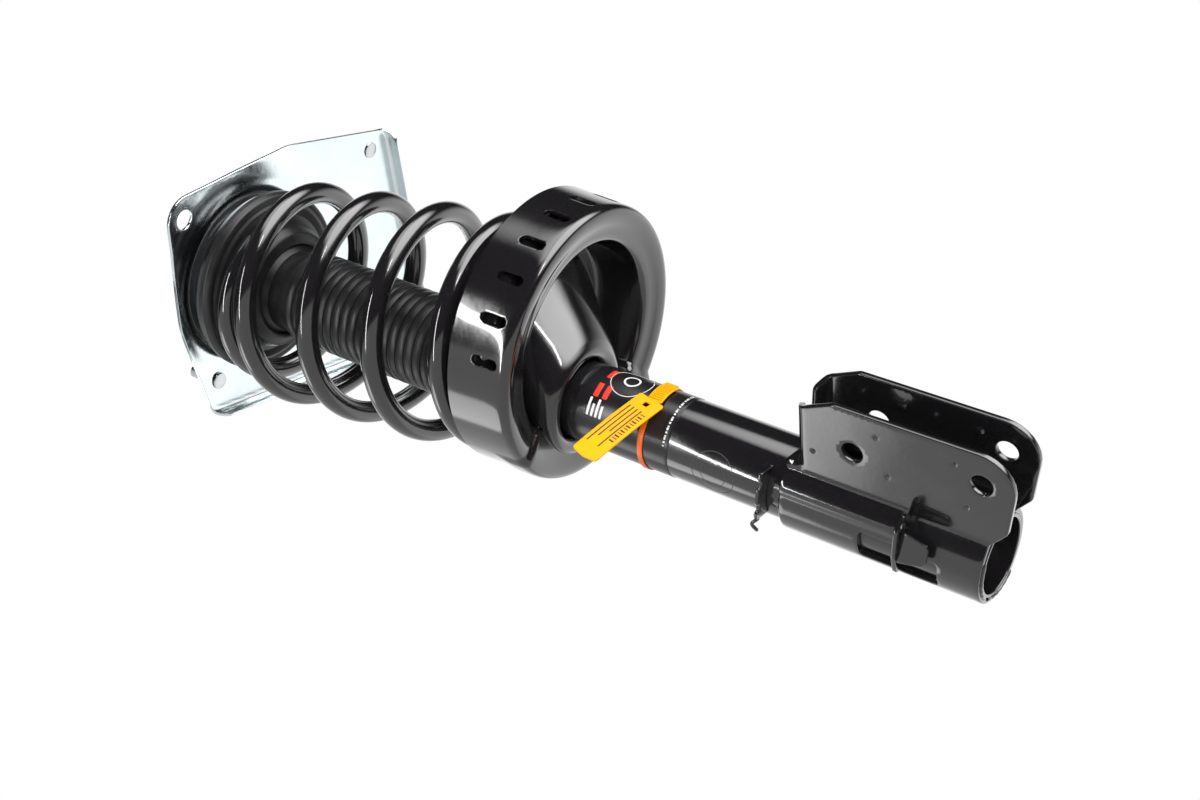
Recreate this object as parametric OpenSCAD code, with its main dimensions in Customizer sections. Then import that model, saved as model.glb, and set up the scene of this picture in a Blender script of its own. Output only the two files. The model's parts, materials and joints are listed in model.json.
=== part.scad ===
// Front suspension strut: damper, coil spring, top mount and knuckle bracket.
// The origin is on the damper's axis, at the upper face of the top mount's plate.
// +Z points up, away from the damper. The bracket's ears point along +X and the bolts run along Y.

/* [Damper] */
// Outer diameter of the damper tube
tube_d = 55; // [50:1:60]
// Wall of the damper tube
tube_wall = 2.5; // [2:0.5:4]
// Height of the tube's upper end
tube_top = -210; // [-220:1:-205]
// Height of the tube's open lower end
tube_bottom = -622; // [-630:1:-615]
// Diameter of the piston rod
rod_d = 22; // [18:1:25]
// Diameter of the threaded upper end of the rod
rod_thread_d = 16; // [12:1:18]

/* [Coil spring] */
// Diameter of the wire
wire_d = 16; // [12:0.5:16]
// Radius of the middle of the wire at the first full coil
coil_r = 75.5; // [72:0.5:76]
// Height of the first full coil
coil_z = -64.5; // [-66:0.5:-62]
// Rise of each full turn
pitch = 57; // [52:1:58]

/* [Top mount] */
// Thickness of the plate
plate_t = 2.5; // [2:0.5:4]
// Depth of the plate's folded edges
lip_h = 12; // [8:1:16]
// Diameter of the plate's bolt hole
plate_hole_d = 15; // [10:0.5:16]
// Diameter of the tower studs
stud_d = 10; // [8:1:12]
// Outer diameter of the pilot collar that goes into the body's opening
pilot_d = 72; // [66:1:76]
// Height of the pilot collar's rim above the plate
pilot_h = 24; // [20:1:28]

/* [Lower spring seat] */
// Offset of the pan's centre from the tube, along X
pan_x = 27.5; // [24:0.5:28]
// Offset of the pan's centre from the tube, along Y
pan_y = 25.5; // [22:0.5:26]
// Outer radius of the pan
pan_r = 99; // [98:1:102]
// Thickness of the pressed sheet
pan_t = 3; // [2.5:0.5:3]
// Height of the underside of the pan's channel
pan_floor = -296.5; // [-298:0.5:-296]
// Height of the pan's upper rim
pan_rim = -256; // [-257:1:-255]
// Number of slots in the pan's wall
slot_n = 10; // [6:1:10]

/* [Knuckle bracket] */
// Thickness of the bracket's sheet
ear_t = 4; // [3:0.5:5]
// Gap between the two ears
ear_gap = 30; // [28:1:32]
// Diameter of the knuckle bolt holes
bolt_d = 14.4; // [12:0.2:16]
// Height of the lower knuckle bolt
bolt_low_z = -614.5; // [-616:0.5:-612]
// Distance of the lower bolt from the tube's axis
bolt_low_x = 70; // [66:1:72]
// Height of the upper bolt above the lower one
bolt_rise = 85; // [80:1:88]
// Distance of the upper bolt from the tube's axis
bolt_high_x = 59; // [56:1:62]

/* [Hidden] */
$fn = 96;

tube_r = tube_d / 2;
bore_r = tube_r - tube_wall;
rod_r = rod_d / 2;
wire_r = wire_d / 2;
wrap_r = tube_r + ear_t;
ear_y = ear_gap / 2;
ear_top = bolt_low_z + 133;
slide_gap = 0.05;
hub_r = 19;

// Heights of the top mount's stack
dome_r = 70;
dome_h = 11;
race_top = dome_h - plate_t;
ball_z = -1;
ball_r = 2.5;
ball_ring_r = 46;
ball_n = 24;
seat_z = -8.5;
spring_top = -34;
boot_top = -38;

// Unit direction v, and the arc that rounds corner b of the path a-b-c with radius r
function unit(v) = v / norm(v);
function arc_corner(a, b, c, r, n = 8) = r <= 0 ? [b] :
    let (u = unit(a - b), w = unit(c - b), half = acos(u * w) / 2,
        centre = b + unit(u + w) * r / sin(half),
        from = b + u * r / tan(half) - centre, to = b + w * r / tan(half) - centre,
        a0 = atan2(from[1], from[0]), turn = (atan2(to[1], to[0]) - a0 + 540) % 360 - 180)
    [for (i = [0:n]) centre + r * [cos(a0 + turn * i / n), sin(a0 + turn * i / n)]];
// Outline of corners [x, y, radius], each one rounded
function rounded(p) = let (k = len(p), xy = [for (q = p) [q[0], q[1]]])
    [for (i = [0:k - 1]) each arc_corner(xy[(i + k - 1) % k], xy[i], xy[(i + 1) % k], p[i][2])];

module ring(r_out, r_in, z0, z1) {
    translate([0, 0, z0]) difference() {
        cylinder(r = r_out, h = z1 - z0);
        translate([0, 0, -1]) cylinder(r = r_in, h = z1 - z0 + 2);
    }
}

// Outline of the top plate, seen from above: corners [x, y, radius]
plate_corners = [[101, -62, 20], [79, 65, 60], [34, 171, 14], [-176, 171, 16], [-88, -72, 16], [-4, -78, 60]];
plate_xy = [for (q = plate_corners) [q[0], q[1]]];
plate_hole = [81, -49];
stud_places = [[-63, -58], [27, 147]];

// Strip of width w along the left side of path p
function beside(p, i, w) = let (v = unit(p[min(i + 1, len(p) - 1)] - p[max(i - 1, 0)])) p[i] + w * [-v[1], v[0]];
module strip(p, w) {
    polygon(concat(p, [for (i = [len(p) - 1:-1:0]) beside(p, i, w)]));
}

module mount_plate() {
    corner = [for (i = [2:4]) each arc_corner(plate_xy[i - 1], plate_xy[i], plate_xy[(i + 1)], plate_corners[i][2])];
    color("gainsboro") difference() {
        union() {
            translate([0, 0, -plate_t]) linear_extrude(plate_t) polygon(rounded(plate_corners));
            // The edge is folded down towards the spring round the two sides that meet at the far corner
            translate([0, 0, -lip_h]) linear_extrude(lip_h - plate_t / 2) strip(corner, plate_t);
        }
        translate([0, 0, -plate_t - 1]) cylinder(r = dome_r, h = plate_t + 2);
        translate([plate_hole[0], plate_hole[1], -10]) cylinder(d = plate_hole_d, h = 20);
        for (s = stud_places) translate([s[0], s[1], -10]) cylinder(d = stud_d + 0.4, h = 20);
    }
}

// Pressed cup, welded into the plate, that holds the rubber and covers the bearing
module rubber_cup() {
    color("gainsboro") rotate_extrude() polygon([[dome_r, -plate_t], [dome_r, 0], [dome_r - 4, 0], [54, dome_h],
        [pilot_d / 2, dome_h], [pilot_d / 2, pilot_h], [pilot_d / 2 - plate_t, pilot_h],
        [pilot_d / 2 - plate_t, dome_h - plate_t], [53, dome_h - plate_t], [dome_r - 5, -plate_t]]);
}

// A stud's round head lies under the plate and its shank stands through it
module tower_studs() {
    color("silver") for (s = stud_places) translate([s[0], s[1], 0]) {
        translate([0, 0, -plate_t - 1.2]) cylinder(d = stud_d + 3, h = 1.2);
        translate([0, 0, -plate_t - 0.5]) cylinder(d = stud_d + 0.4, h = plate_t + 1);
        cylinder(d = stud_d, h = 24.5);
    }
}

module mount_rubber() {
    color("#1b1b1c") rotate_extrude() polygon([[hub_r, -2], [27, 3], [pilot_d / 2 - plate_t, 8.5],
        [pilot_d / 2 - plate_t, 20], [27, 22], [hub_r, 20]]);
}

module mount_sleeve() {
    color("silver") difference() {
        translate([0, 0, -6]) cylinder(r = hub_r, h = 28);
        translate([0, 0, -7]) cylinder(r = rod_thread_d / 2, h = 30);
    }
}

module dished_washer() {
    color("silver") rotate_extrude() polygon([[rod_thread_d / 2, 22], [24, 22], [31, 26], [31, 28.5],
        [23, 25], [rod_thread_d / 2, 25]]);
}

module rod_nut() {
    color("silver") translate([0, 0, 25]) difference() {
        cylinder(d = 27.7, h = 13, $fn = 6);
        translate([0, 0, -1]) cylinder(d = rod_thread_d, h = 15);
    }
}

// Thrust bearing: two races, a ring of balls and the cage between them
module upper_race() {
    color("#202124") difference() {
        ring(52, 38, ball_z + 1, race_top);
        translate([0, 0, ball_z]) rotate_extrude() translate([ball_ring_r, 0]) circle(r = ball_r + slide_gap, $fn = 48);
    }
}

module lower_race() {
    color("#202124") difference() {
        ring(54, 38, seat_z + 2.5, ball_z - 1);
        translate([0, 0, ball_z]) rotate_extrude() translate([ball_ring_r, 0]) circle(r = ball_r + slide_gap, $fn = 48);
    }
}

module bearing_balls() {
    color("silver") for (i = [0:ball_n - 1]) rotate(i * 360 / ball_n)
        translate([ball_ring_r, 0, ball_z]) sphere(r = ball_r, $fn = 32);
}

module ball_cage() {
    color("tan") difference() {
        ring(52, 40, ball_z - 0.6, ball_z + 0.6);
        for (i = [0:ball_n - 1]) rotate(i * 360 / ball_n)
            translate([ball_ring_r, 0, ball_z - 2]) cylinder(r = ball_r + slide_gap, h = 4, $fn = 48);
    }
}

module upper_spring_seat() {
    color("#161617") rotate_extrude() polygon([[27, -12], [27, -9], [36.5, -9], [37, -4], [37.7, -4], [37.7, -6],
        [54.3, -6], [54.3, seat_z], [66, seat_z], [66, -12]]);
}

// Rubber ring with a groove for the small top coil
module upper_isolator() {
    groove_r = wire_r + 2.4;
    color("#1b1b1c") rotate_extrude() difference() {
        polygon([[30, -12.3], [69, -12.3], [69.5, -20], [66, -23], [49, -25], [44, -42], [36, -46], [34, -30], [30, -26]]);
        translate([56, spring_top]) circle(r = groove_r, $fn = 48);
    }
}

// Middle line of the spring's wire at turn t, counted down from the first full coil.
// The turn above it winds inwards and lies flat in the isolator. The last turn lies flat in the pan.
coil_start = -1.05;
coil_end = 4.4;
flat_from = 2.9;
seated_from = 3.5;
start_angle = -36;
first_centre = [6.2, -2.1];
drift = [3.9, 5.1];
function coil_height(t) = coil_z - pitch * t - (coil_z + pitch - spring_top) * pow(min(t, 0), 2)
    + 15.2 * pow(max(t - flat_from, 0), 2);
function coil_radius(t) = min(84, coil_r + 1.6 * t - 18 * pow(min(t, 0), 2) + 2.4 * max(t - 3, 0));
function coil_centre(t) = t < 0 ? first_centre * (1 + t) : t < 3 ? first_centre + drift * t
    : let (share = min(1, (t - 3) / (seated_from - 3)))
        (1 - share) * (first_centre + drift * 3) + share * [pan_x, pan_y];
function coil_point(t) = let (c = coil_centre(t), a = start_angle - 360 * t)
    [c[0] + coil_radius(t) * cos(a), c[1] + coil_radius(t) * sin(a), coil_height(t)];

// Tube of radius r swept along points, with flat ends
module swept(points, r, sides = 12) {
    n = len(points);
    rings = [for (i = [0:n - 1]) let (
        d = unit(points[min(i + 1, n - 1)] - points[max(i - 1, 0)]),
        u = unit(cross(d, [0, 0, 1])), v = cross(d, u))
        for (k = [0:sides - 1]) points[i] + r * (cos(360 * k / sides) * u + sin(360 * k / sides) * v)];
    polyhedron(rings, [
        [for (k = [0:sides - 1]) k],
        for (i = [0:n - 2], k = [0:sides - 1]) let (k2 = (k + 1) % sides)
            each [[i * sides + k2, i * sides + k, (i + 1) * sides + k], [i * sides + k2, (i + 1) * sides + k, (i + 1) * sides + k2]],
        [for (k = [sides - 1:-1:0]) (n - 1) * sides + k]]);
}

module coil_spring() {
    steps = 34;
    color("#141415") swept([for (i = [0:round((coil_end - coil_start) * steps)]) coil_point(coil_start + i / steps)], wire_r);
}

module bump_stop() {
    color("khaki") difference() {
        rotate_extrude() polygon([[rod_r + 1, -12.4], [24, -12.4], [24, -30], [20, -36], [23, -44], [18, -54], [20, -62],
            [15, -74], [rod_r + 1, -76]]);
    }
}

// Bellows: a plain sleeve above, then folds down to a collar on the tube's cap
module dust_boot() {
    folds = 13;
    fold_top = -104;
    fold_bottom = -206;
    fold_step = (fold_top - fold_bottom) / folds;
    color("#18181a") rotate_extrude() polygon([
        [28, boot_top], [34, boot_top], [30.5, -48], [30.5, -60], [33, -64], [33, fold_top],
        for (i = [0:folds - 1]) each [[30.5, fold_top - i * fold_step - 1], [34.7, fold_top - (i + 0.5) * fold_step]],
        [30.5, fold_bottom], [30.5, fold_bottom - 14], [28.2, fold_bottom - 14],
        for (i = [folds - 1:-1:0]) each [[28.2, fold_top - i * fold_step - fold_step], [32.2, fold_top - (i + 0.5) * fold_step]],
        [30.5, fold_top + 1], [30.5, -66], [28, -62]]);
}

module piston_rod() {
    color("silver") {
        translate([0, 0, -318]) cylinder(r = rod_r, h = 312);
        translate([0, 0, -7]) cylinder(d = rod_thread_d, h = 51);
        translate([0, 0, -352]) cylinder(r = 6, h = 35);
    }
}

module rebound_stop() {
    color("#2b2b2e") ring(16, rod_r, -262.3, -246.3);
}

cylinder_r = 17.5;
module piston() {
    color("gray") difference() {
        translate([0, 0, -340]) cylinder(r = cylinder_r - 0.6, h = 22);
        translate([0, 0, -341]) cylinder(r = 6, h = 24);
        translate([0, 0, -334]) ring(20, cylinder_r - 2, 0, 10);
        for (a = [0:60:300]) rotate(a) translate([11.5, 0, -341]) cylinder(r = 1.5, h = 24, $fn = 24);
    }
}

module piston_ring() {
    color("teal") ring(cylinder_r - slide_gap, cylinder_r - 2, -334, -324);
}

module piston_nut() {
    color("silver") translate([0, 0, -348]) difference() {
        cylinder(d = 19, h = 8, $fn = 6);
        translate([0, 0, -1]) cylinder(r = 6, h = 10);
    }
}

module outer_tube() {
    color("#141415") ring(tube_r, bore_r, tube_bottom, tube_top);
}

module inner_cylinder() {
    color("silver") ring(cylinder_r + 1.5, cylinder_r, -592, -240);
}

module foot_valve() {
    color("gray") difference() {
        union() {
            translate([0, 0, -598]) cylinder(r = cylinder_r + 1.5, h = 6);
            translate([0, 0, -592]) cylinder(r = cylinder_r, h = 8);
        }
        for (a = [0:60:300]) rotate(a) translate([10, 0, -599]) cylinder(r = 1.5, h = 16, $fn = 24);
    }
}

module base_cup() {
    color("#141415") rotate_extrude() polygon([[0, -606], [bore_r, -606], [bore_r, -592], [bore_r - 2, -592],
        [cylinder_r + 4, -598], [0, -598]]);
}

module rod_guide() {
    color("gray") difference() {
        union() {
            translate([0, 0, -236]) cylinder(r = bore_r, h = 16);
            translate([0, 0, -246]) cylinder(r = cylinder_r, h = 12);
        }
        translate([0, 0, -250]) cylinder(r = rod_r + slide_gap, h = 40);
    }
}

module rod_seal() {
    color("#1b1b1c") ring(bore_r, rod_r + slide_gap, -220, -212);
}

module tube_cap() {
    color("silver") ring(bore_r, rod_r + 1, -212, -206);
}

// Pressed pan that carries the spring. Its channel is centred off the tube. Inside the channel the
// sheet rises to a crest and then funnels down to a collar, which is centred on the tube.
crest_z = -258;
crest_r = 60;
collar_z = -313;
collar_top = -295;
collar_r = 37.5;
channel_r = 71.5;
module funnel(lift, inset) {
    hull() {
        translate([pan_x, pan_y, crest_z - pan_t + lift]) cylinder(r = crest_r - inset, h = 0.1, $fn = 48);
        translate([0, 0, collar_z + lift]) cylinder(r = collar_r - inset, h = 0.1, $fn = 48);
    }
}

module lower_spring_seat() {
    neck_r = tube_r + pan_t;
    color("#141415") difference() {
        union() {
            translate([pan_x, pan_y, 0]) difference() {
                rotate_extrude() polygon([
                    [pan_r, pan_rim], [pan_r - 3, pan_floor + 8], [pan_r - 11, pan_floor], [channel_r + 5, pan_floor],
                    [channel_r, pan_floor + 4.5], [channel_r - 4.5, crest_z - 10], [channel_r - 8.5, crest_z - pan_t],
                    [crest_r - 2, crest_z - pan_t], [crest_r - 2, crest_z], [channel_r - 7, crest_z],
                    [channel_r - 1.5, crest_z - 9], [channel_r + 3, pan_floor + 6.5], [channel_r + 6, pan_floor + pan_t],
                    [pan_r - 13, pan_floor + pan_t], [pan_r - 6, pan_floor + 9], [pan_r - pan_t, pan_rim]]);
                for (i = [0:slot_n - 1]) rotate(-66 + i * 17) translate([pan_r - 10, 0, pan_floor + 12])
                    slot();
            }
            difference() {
                funnel(0, 0);
                funnel(pan_t, 1.5);
            }
            ring(neck_r, tube_r, collar_z, collar_top);
        }
        translate([0, 0, collar_z - 1]) cylinder(r = tube_r, h = 100);
    }
}

// Round-ended slot, cut outwards through the wall
module slot() {
    slot_w = 8;
    slot_h = 22;
    rotate([0, 90, 0]) for (z = [-slot_w / 2, slot_w / 2 - slot_h]) translate([z, 0, 0]) cylinder(d = slot_w, h = 20, $fn = 32);
    translate([0, -slot_w / 2, slot_w / 2]) cube([20, slot_w, slot_h - slot_w]);
}

module lower_isolator() {
    color("#1b1b1c") translate([pan_x, pan_y, 0]) ring(85.5, 79, pan_floor + pan_t, -290.2);
}

// Outline of an ear, seen from the side: [x, z above the lower bolt, radius]
ear_corners = [[0, 133, 0], [74, 129, 8], [91, 98, 6], [93, -24, 24], [38, -18, 6], [20, 2, 6], [0, 2, 0]];

bead_r = 7.5;
module knuckle_bracket() {
    color("#141415") difference() {
        union() {
            // The sheet wraps round the tube, with a stiffening bead beside the near ear
            rotate(-52) translate([28, 0, bolt_low_z + 49]) cylinder(r = bead_r, h = 80, $fn = 48);
            difference() {
                translate([0, 0, bolt_low_z - 7]) cylinder(r = wrap_r, h = 138);
                translate([0, -ear_y, bolt_low_z - 10]) cube([60, ear_gap, 150]);
            }
            for (s = [-1, 1]) translate([0, s > 0 ? ear_y + ear_t : -ear_y, bolt_low_z]) rotate([90, 0, 0])
                linear_extrude(ear_t) polygon(rounded(ear_corners));
        }
        translate([0, 0, bolt_low_z - 30]) cylinder(r = tube_r, h = 200);
        // Weld window in the wrap
        rotate(-96) translate([20, -11, bolt_low_z + 21]) cube([20, 22, 54]);
        for (b = [[bolt_low_x, 0], [bolt_high_x, bolt_rise]]) translate([b[0], 50, bolt_low_z + b[1]])
            rotate([90, 0, 0]) cylinder(d = bolt_d, h = 100);
    }
}

// Tab for the brake hose: a plate across the wrap, with a leg that turns down beside it
module hose_tab() {
    tab_corners = [[26, -20, 0], [34, -26, 4], [27, -38, 5], [8, -42, 6], [-12, -38, 5], [-6, -20, 0]];
    color("#141415") difference() {
        union() {
            translate([0, 0, bolt_low_z + 44]) linear_extrude(3) polygon(rounded([for (i = [5:-1:0]) tab_corners[i]]));
            rotate(-84) translate([36.5, -11, bolt_low_z + 24]) cube([3, 22, 21]);
        }
        translate([0, 0, bolt_low_z]) cylinder(r = wrap_r, h = 100);
        rotate(-52) translate([28, 0, bolt_low_z + 44]) cylinder(r = bead_r, h = 4, $fn = 48);
    }
}

module lead_clip() {
    clip_z = ear_top + 9;
    color("#141415") difference() {
        rotate(-75) translate([tube_r, 0, clip_z]) {
            difference() {
                translate([-8, -17, 0]) cube([19, 34, 2.5]);
                for (y = [-9, 7]) translate([8, y - 2.5, -1]) cube([8, 5, 5]);
            }
            translate([4, -27, 0]) cube([3, 12, 2.5]);
        }
        translate([0, 0, clip_z - 1]) cylinder(r = tube_r, h = 20);
    }
}

module label_film() {
    color("#101012") ring(tube_r + 0.3, tube_r, -397, -321);
}

// Yellow tag beside the tube, on a strap that goes once round it
tag_z = -376;
module tag_strap() {
    color("orange") ring(tube_r + 1.4, tube_r + 0.3, tag_z - 2, tag_z + 2);
}

// The tag's plate stands out tangentially from its neck, which lies on the strap
module seal_tag() {
    neck_r = tube_r + 1.4;
    tag_size = [66, 2, 22];
    color("gold") union() {
        translate([31.2, -7.4, tag_z]) rotate([0, 0, -95]) rotate([0, -12, 0])
            translate([0, -tag_size[1] / 2, -tag_size[2] / 2]) cube(tag_size);
        rotate_extrude(angle = 46, start = -14) translate([neck_r, tag_z - 6]) square([2.5, 12]);
    }
}

mount_plate();
rubber_cup();
tower_studs();
mount_rubber();
mount_sleeve();
dished_washer();
rod_nut();
upper_race();
ball_cage();
bearing_balls();
lower_race();
upper_spring_seat();
upper_isolator();
coil_spring();
bump_stop();
dust_boot();
piston_rod();
rebound_stop();
piston();
piston_ring();
piston_nut();
outer_tube();
inner_cylinder();
foot_valve();
base_cup();
rod_guide();
rod_seal();
tube_cap();
lower_spring_seat();
lower_isolator();
knuckle_bracket();
hose_tab();
lead_clip();
label_film();
seal_tag();
tag_strap();
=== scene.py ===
"""Looks of a front suspension strut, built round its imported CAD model."""
import json
from math import acos, atan2, ceil, cos, pi, radians, sin, tan

import bpy
import numpy as np
from mathutils import Matrix, Vector, geometry


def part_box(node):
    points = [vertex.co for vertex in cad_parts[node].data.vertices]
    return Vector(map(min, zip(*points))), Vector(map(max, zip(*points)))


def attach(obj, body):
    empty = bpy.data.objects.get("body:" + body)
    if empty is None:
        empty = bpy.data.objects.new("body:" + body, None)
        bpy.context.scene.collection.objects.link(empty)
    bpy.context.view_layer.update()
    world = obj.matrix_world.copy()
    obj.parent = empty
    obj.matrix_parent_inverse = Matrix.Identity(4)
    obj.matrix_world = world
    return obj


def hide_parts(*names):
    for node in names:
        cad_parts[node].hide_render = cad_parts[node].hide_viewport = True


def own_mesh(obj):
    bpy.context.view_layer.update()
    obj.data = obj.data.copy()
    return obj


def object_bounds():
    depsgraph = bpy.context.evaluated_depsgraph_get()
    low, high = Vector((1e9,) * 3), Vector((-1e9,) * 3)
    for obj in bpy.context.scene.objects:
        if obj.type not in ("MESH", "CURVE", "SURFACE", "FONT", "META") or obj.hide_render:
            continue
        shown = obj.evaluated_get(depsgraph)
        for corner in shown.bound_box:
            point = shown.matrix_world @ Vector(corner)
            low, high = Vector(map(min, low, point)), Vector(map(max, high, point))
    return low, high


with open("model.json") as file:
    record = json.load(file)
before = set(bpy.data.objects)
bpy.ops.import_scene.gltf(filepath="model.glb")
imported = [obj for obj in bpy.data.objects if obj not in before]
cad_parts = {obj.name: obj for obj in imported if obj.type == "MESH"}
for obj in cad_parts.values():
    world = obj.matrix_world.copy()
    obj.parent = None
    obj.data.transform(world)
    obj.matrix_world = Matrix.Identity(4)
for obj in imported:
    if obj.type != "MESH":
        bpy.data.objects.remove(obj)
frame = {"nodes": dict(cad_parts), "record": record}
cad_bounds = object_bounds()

MM = 0.001


# ---- places, in millimetres, read from the frame

def cad_box(node):
    """Lowest and highest corners of a CAD node."""
    low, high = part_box(node)
    return np.array(low) / MM, np.array(high) / MM


def mount(name):
    """Place and sizes of one of the record's mounts."""
    row = next(m for m in frame["record"]["mounts"] if m["name"] == name)
    return np.array(row["pos_m"]) / MM, row["dims"]


tube_low, tube_high = cad_box("outer_tube")
TUBE_R = tube_high[0]
seat_low, seat_high = cad_box("lower_spring_seat")
PAN_R = (seat_high[0] - seat_low[0]) / 2
PAN = (seat_low[:2] + seat_high[:2]) / 2
COLLAR_Z = seat_low[2]
RIM_Z = seat_high[2]
CREST_Z = RIM_Z - 2
FLOOR_Z = RIM_Z - 40.5
LOW_BOLT, bolt_dims = mount("knuckle_bolt_lower")
HIGH_BOLT, _ = mount("knuckle_bolt_upper")
BOLT_R = bolt_dims["r_mm"]


# ---- node helpers

class Nodes:
    """A material's node tree, with short calls for what the materials here need."""

    def __init__(self, name):
        self.material = bpy.data.materials.new(name)
        self.material.use_nodes = True
        self.tree = self.material.node_tree
        self.shader = self.tree.nodes["Principled BSDF"]
        self.coords = self.tree.nodes.new("ShaderNodeTexCoord").outputs["Object"]

    def add(self, kind, **values):
        node = self.tree.nodes.new(kind)
        for key, value in values.items():
            setattr(node, key, value)
        return node

    def link(self, source, target):
        self.tree.links.new(source, target)

    def set(self, **values):
        for key, value in values.items():
            self.shader.inputs[key.replace("_", " ")].default_value = value

    def noise(self, scale, detail=3.0, roughness=0.55, stretch=None):
        node = self.add("ShaderNodeTexNoise")
        node.inputs["Scale"].default_value = scale
        node.inputs["Detail"].default_value = detail
        node.inputs["Roughness"].default_value = roughness
        source = self.coords
        if stretch:
            mapping = self.add("ShaderNodeMapping")
            mapping.inputs["Scale"].default_value = stretch
            self.link(self.coords, mapping.inputs["Vector"])
            source = mapping.outputs["Vector"]
        self.link(source, node.inputs["Vector"])
        return node.outputs["Fac"]

    def cells(self, scale):
        node = self.add("ShaderNodeTexVoronoi")
        node.inputs["Scale"].default_value = scale
        self.link(self.coords, node.inputs["Vector"])
        return node.outputs["Distance"]

    def ramp(self, source, stops):
        node = self.add("ShaderNodeValToRGB")
        elements = node.color_ramp.elements
        while len(elements) < len(stops):
            elements.new(0.5)
        for element, (place, value) in zip(elements, stops):
            element.position = place
            grey = (value, value, value) if isinstance(value, (int, float)) else value
            element.color = (*grey, 1)
        self.link(source, node.inputs["Fac"])
        return node.outputs["Color"]

    def mix(self, factor, a, b):
        node = self.add("ShaderNodeMix", data_type="RGBA")
        for socket, value in ((node.inputs["Factor"], factor), (node.inputs["A"], a), (node.inputs["B"], b)):
            if isinstance(value, bpy.types.NodeSocket):
                self.link(value, socket)
            else:
                socket.default_value = value if isinstance(value, float) else (*value, 1)
        return node.outputs["Result"]

    def bump(self, source, distance, strength=1.0, base=None):
        node = self.add("ShaderNodeBump")
        node.inputs["Distance"].default_value = distance
        node.inputs["Strength"].default_value = strength
        self.link(source, node.inputs["Height"])
        if base:
            self.link(base, node.inputs["Normal"])
        return node.outputs["Normal"]

    def out(self, socket, name):
        self.link(socket, self.shader.inputs[name])


# ---- materials

def gloss_paint(name, peel=0.00005):
    """Thick black gloss paint with orange peel, faint dust and a few dull patches."""
    m = Nodes(name)
    m.set(Metallic=0.0, Specular_IOR_Level=0.62, Coat_Weight=0.75, Coat_Roughness=0.035)
    dust = m.ramp(m.noise(900, 2), [(0.62, 0.0), (0.78, 1.0)])
    patch = m.ramp(m.noise(22, 4), [(0.35, 0.0), (0.75, 1.0)])
    m.out(m.mix(dust, (0.0075, 0.0068, 0.0076), (0.022, 0.021, 0.022)), "Base Color")
    m.out(m.ramp(patch, [(0.0, 0.1), (1.0, 0.2)]), "Roughness")
    fine = m.bump(m.noise(260, 2), peel, 0.6)
    m.out(m.bump(m.noise(38, 1), peel * 4, 0.5, fine), "Normal")
    return m.material


def zinc(name, tint=(0.84, 0.92, 0.94)):
    """Bright zinc plating: cloudy, with fine grain and scuffs."""
    m = Nodes(name)
    m.set(Metallic=1.0)
    cloud = m.noise(14, 3, 0.5)
    grain = m.noise(1500, 2)
    scuff = m.ramp(m.noise(160, 4, 0.7, (1, 5, 1)), [(0.45, 0.0), (0.72, 1.0)])
    dark = tuple(c * 0.8 for c in tint)
    m.out(m.mix(m.ramp(cloud, [(0.3, 0.0), (0.7, 1.0)]), dark, tint), "Base Color")
    m.out(m.mix(scuff, (0.16, 0.16, 0.16), (0.27, 0.27, 0.27)), "Roughness")
    m.out(m.bump(cloud, 0.0003, 0.5, m.bump(grain, 0.000008, 0.5)), "Normal")
    return m.material


def steel(name, tint=(0.5, 0.5, 0.52), rough=0.3, ridges=(1, 1, 30)):
    """Turned or drawn steel, with tool marks along one direction."""
    m = Nodes(name)
    m.set(Metallic=1.0)
    marks = m.noise(300, 3, 0.6, ridges)
    m.out(m.mix(marks, tuple(c * 0.75 for c in tint), tint), "Base Color")
    m.out(m.ramp(marks, [(0.2, rough * 0.7), (0.8, rough * 1.3)]), "Roughness")
    m.out(m.bump(marks, 0.00004, 0.5), "Normal")
    return m.material


def rubber(name, tone=0.008, sheen=0.04):
    """Moulded rubber with patches of bloom and a fine grain."""
    m = Nodes(name)
    m.set(Specular_IOR_Level=0.4, Sheen_Weight=sheen, Sheen_Roughness=0.4)
    bloom = m.ramp(m.noise(45, 5, 0.6), [(0.35, 0.0), (0.75, 1.0)])
    m.out(m.mix(bloom, (tone, tone, tone * 1.03), (tone * 1.9, tone * 1.9, tone * 2)), "Base Color")
    m.out(m.ramp(bloom, [(0.0, 0.3), (1.0, 0.45)]), "Roughness")
    m.out(m.bump(m.noise(1400, 2), 0.00003, 0.7), "Normal")
    return m.material


def plastic(name, colour, rough=0.35, specular=0.5):
    """Moulded plastic: slight flow marks in colour and gloss."""
    m = Nodes(name)
    m.set(Specular_IOR_Level=specular)
    flow = m.noise(70, 4, 0.5, (1, 1, 0.3))
    m.out(m.mix(flow, tuple(c * 0.86 for c in colour), colour), "Base Color")
    m.out(m.ramp(flow, [(0.3, rough * 0.8), (0.7, rough * 1.25)]), "Roughness")
    m.out(m.bump(m.noise(900, 2), 0.00002, 0.6), "Normal")
    return m.material


def foam(name):
    """Closed-cell foam with a pitted skin."""
    m = Nodes(name)
    pores = m.cells(900)
    m.out(m.mix(m.noise(60, 3), (0.42, 0.38, 0.2), (0.6, 0.55, 0.33)), "Base Color")
    m.out(m.ramp(pores, [(0.0, 0.95), (1.0, 0.75)]), "Roughness")
    m.out(m.bump(pores, 0.0002, 0.8), "Normal")
    return m.material


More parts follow.
